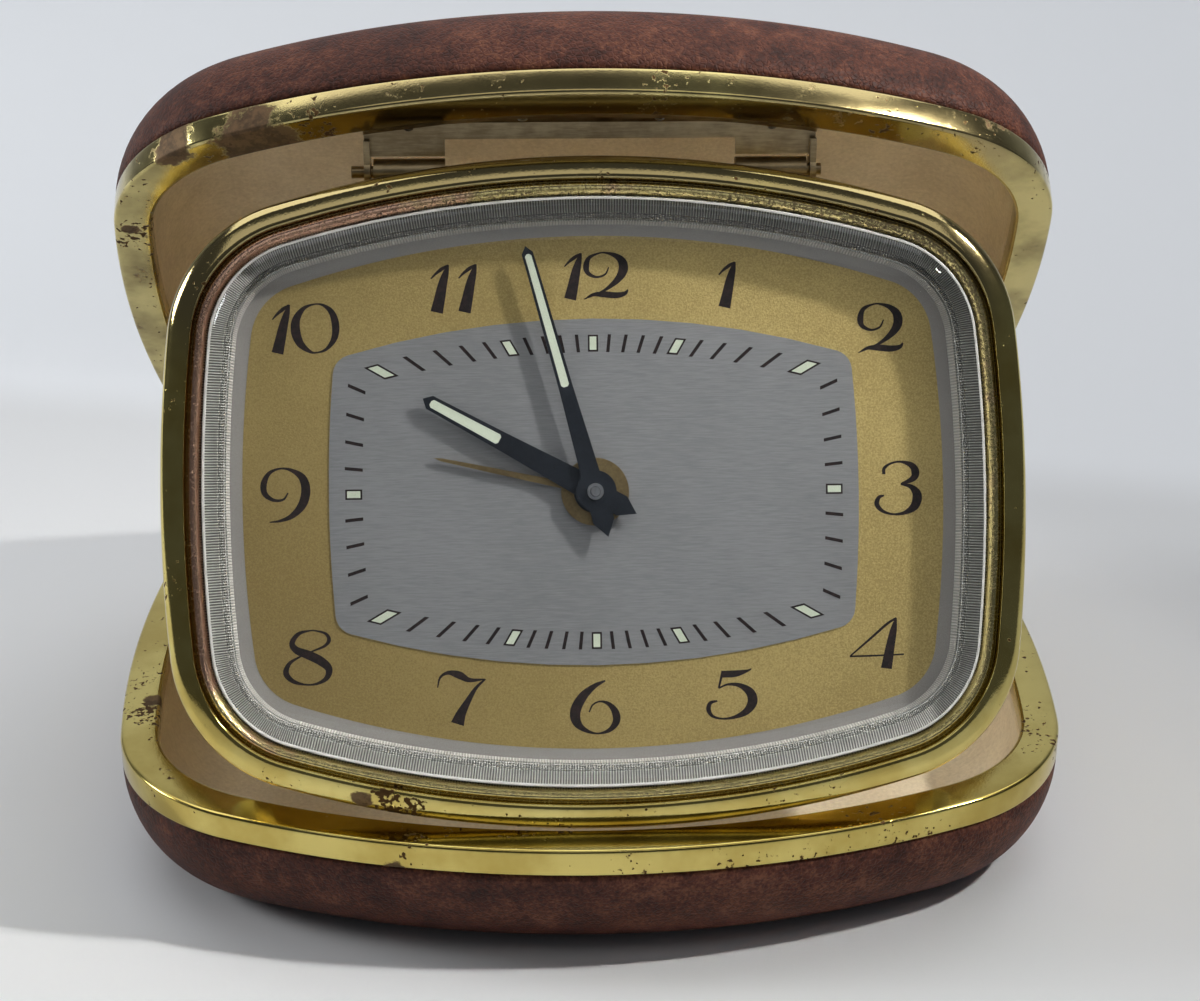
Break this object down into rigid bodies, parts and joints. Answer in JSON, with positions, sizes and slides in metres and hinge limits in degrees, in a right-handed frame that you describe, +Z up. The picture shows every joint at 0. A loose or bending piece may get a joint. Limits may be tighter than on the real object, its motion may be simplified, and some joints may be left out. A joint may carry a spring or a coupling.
{
  "type": "folding travel alarm clock",
  "caption": "Travel alarm clock in a hinged leatherette case with brass rims: the clock stands propped between lid and base and folds into the lid.",
  "frame": {"origin": "centre of the bounding box's underside, on the surface that the base stands on", "axes": "+Z up, +X to the viewer's right along the hinges, +Y away from the viewer towards the rear hinge"},
  "size_m": [0.1002, 0.0938, 0.0851],
  "materials": {
    "shell": "painted",
    "cover": "grained",
    "rim": "polished",
    "lining": "matt",
    "steel": "brushed",
    "dark": "blued",
    "brass": "plain",
    "glass": "clear",
    "rehaut": "ribbed",
    "dial": "satin",
    "panel": "brushed",
    "lume": "matt"
  },
  "bodies": {
    "base": {"base_shell": "shell", "base_cover": "cover", "base_rim": "rim", "base_lining": "lining", "rear_hinge_base_leaf": "brass", "rear_hinge_pin": "steel"},
    "lid": {"lid_shell": "shell", "lid_cover": "cover", "lid_rim": "rim", "lid_lining": "lining", "rear_hinge_lid_leaf": "brass", "clock_bracket": "dark", "bracket_rivets": "steel", "clock_hinge_pin": "dark"},
    "clock": {"bezel": "brass", "bezel_inner_ring": "brass", "crystal": "glass", "rehaut_ring": "rehaut", "dial_plate": "dial", "dial_centre_panel": "panel", "dial_feet": "brass", "clock_band": "brass", "hinge_lugs": "steel", "back_cover": "brass", "back_screws": "steel", "front_plate": "brass", "back_plate": "brass", "plate_pillars": "brass", "pillar_screws": "steel", "alarm_gong": "steel"},
    "minute_train": {"centre_arbor": "steel", "centre_wheel": "brass", "cannon_pinion": "steel", "minute_hand": "dark", "minute_hand_lume": "lume"},
    "hour_train": {"hour_wheel": "brass", "hour_hand": "dark", "hour_hand_lume": "lume"},
    "alarm_setting": {"alarm_wheel": "brass", "alarm_hand": "brass"},
    "minute_wheel": {"minute_wheel": "brass"},
    "time_knob": {"time_set_knob": "brass"},
    "alarm_knob": {"alarm_set_knob": "brass"},
    "time_barrel": {"time_great_wheel": "brass", "time_mainspring": "dark"},
    "time_key": {"time_winding_key": "brass"},
    "alarm_barrel": {"alarm_great_wheel": "brass", "alarm_mainspring": "dark"},
    "alarm_key": {"alarm_winding_key": "brass"},
    "third": {"third_wheel": "brass"},
    "fourth": {"fourth_wheel": "brass"},
    "escape": {"escape_wheel": "steel"},
    "pallet": {"pallet_fork": "steel"},
    "balance": {"balance_wheel": "brass", "hairspring": "dark"},
    "strike": {"strike_wheel": "steel"},
    "hammer": {"alarm_hammer": "steel"},
    "stop_button": {"alarm_stop_button": "brass"},
    "regulator": {"regulator_lever": "steel"}
  },
  "joints": [
    {"name": "lid_hinge", "type": "hinge", "parent": "base", "child": "lid", "pos_m": [0, 0.04172, 0.014], "axis": [-1, 0, 0], "range_deg": [0, 54]},
    {"name": "clock_hinge", "type": "hinge", "parent": "lid", "child": "clock", "pos_m": [0, -0.01185, 0.07052], "axis": [1, 0, 0], "range_deg": [0, 66]},
    {"name": "minute_hand_turn", "type": "hinge", "parent": "clock", "child": "minute_train", "pos_m": [0, -0.02113, 0.03984], "axis": [0, 0.907, -0.421], "continuous": true},
    {"name": "hour_hand_turn", "type": "hinge", "parent": "clock", "child": "hour_train", "pos_m": [0, -0.02113, 0.03984], "axis": [0, 0.907, -0.421], "continuous": true},
    {"name": "minute_wheel_turn", "type": "hinge", "parent": "clock", "child": "minute_wheel", "pos_m": [0.0052, -0.02239, 0.03712], "axis": [0, 0.907, -0.421], "continuous": true},
    {"name": "time_knob_turn", "type": "hinge", "parent": "clock", "child": "time_knob", "pos_m": [0.0082, -0.02458, 0.03241], "axis": [0, 0.907, -0.421], "continuous": true},
    {"name": "time_barrel_turn", "type": "hinge", "parent": "clock", "child": "time_barrel", "pos_m": [-0.00987, -0.02264, 0.03658], "axis": [0, 0.907, -0.421], "continuous": true},
    {"name": "third_wheel_turn", "type": "hinge", "parent": "clock", "child": "third", "pos_m": [0.00425, -0.01803, 0.04652], "axis": [0, 0.907, -0.421], "continuous": true},
    {"name": "fourth_wheel_turn", "type": "hinge", "parent": "clock", "child": "fourth", "pos_m": [0.01076, -0.01703, 0.04867], "axis": [0, 0.907, -0.421], "continuous": true},
    {"name": "escape_wheel_turn", "type": "hinge", "parent": "clock", "child": "escape", "pos_m": [0.01462, -0.01896, 0.0445], "axis": [0, 0.907, -0.421], "continuous": true},
    {"name": "alarm_hand_turn", "type": "hinge", "parent": "clock", "child": "alarm_setting", "pos_m": [0, -0.02113, 0.03984], "axis": [0, 0.907, -0.421], "continuous": true},
    {"name": "alarm_knob_turn", "type": "hinge", "parent": "clock", "child": "alarm_knob", "pos_m": [-0.00369, -0.01685, 0.04905], "axis": [0, 0.907, -0.421], "continuous": true},
    {"name": "time_key_turn", "type": "hinge", "parent": "clock", "child": "time_key", "pos_m": [-0.00987, -0.02264, 0.03658], "axis": [0, 0.907, -0.421], "continuous": true},
    {"name": "alarm_barrel_turn", "type": "hinge", "parent": "clock", "child": "alarm_barrel", "pos_m": [-0.02108, -0.01609, 0.05069], "axis": [0, 0.907, -0.421], "continuous": true},
    {"name": "alarm_key_turn", "type": "hinge", "parent": "clock", "child": "alarm_key", "pos_m": [-0.02108, -0.01609, 0.05069], "axis": [0, 0.907, -0.421], "continuous": true},
    {"name": "strike_wheel_turn", "type": "hinge", "parent": "clock", "child": "strike", "pos_m": [-0.01281, -0.01548, 0.05201], "axis": [0, 0.907, -0.421], "continuous": true},
    {"name": "pallet_swing", "type": "hinge", "parent": "clock", "child": "pallet", "pos_m": [0.01499, -0.02073, 0.0407], "axis": [0, 0.907, -0.421], "range_deg": [-3, 3]},
    {"name": "balance_swing", "type": "hinge", "parent": "clock", "child": "balance", "pos_m": [0.01623, -0.02371, 0.03427], "axis": [0, 0.907, -0.421], "range_deg": [-120, 120], "stiffness_Nm_per_rad": 0.00001},
    {"name": "hammer_swing", "type": "hinge", "parent": "clock", "child": "hammer", "pos_m": [-0.00946, -0.0138, 0.05563], "axis": [0, -0.907, 0.421], "range_deg": [0, 5]},
    {"name": "stop_button_press", "type": "slide", "parent": "clock", "child": "stop_button", "axis": [0, -0.907, 0.421], "range_m": [0, 0.0008], "stiffness_N_per_m": 150, "springref_m": -0.001},
    {"name": "regulator_turn", "type": "hinge", "parent": "clock", "child": "regulator", "pos_m": [0.01623, -0.02371, 0.03427], "axis": [0, 0.907, -0.421], "range_deg": [-20, 20]}
  ],
  "couplings": [
    {"joint": "hour_hand_turn", "follows": "minute_hand_turn", "ratio": 0.083333},
    {"joint": "minute_wheel_turn", "follows": "minute_hand_turn", "ratio": -0.33333},
    {"joint": "time_knob_turn", "follows": "minute_hand_turn", "ratio": 1},
    {"joint": "time_barrel_turn", "follows": "minute_hand_turn", "ratio": -0.16667},
    {"joint": "third_wheel_turn", "follows": "minute_hand_turn", "ratio": -7.5},
    {"joint": "fourth_wheel_turn", "follows": "minute_hand_turn", "ratio": 60},
    {"joint": "escape_wheel_turn", "follows": "minute_hand_turn", "ratio": -540},
    {"joint": "alarm_knob_turn", "follows": "alarm_hand_turn", "ratio": -5},
    {"joint": "strike_wheel_turn", "follows": "alarm_barrel_turn", "ratio": -6}
  ]
}
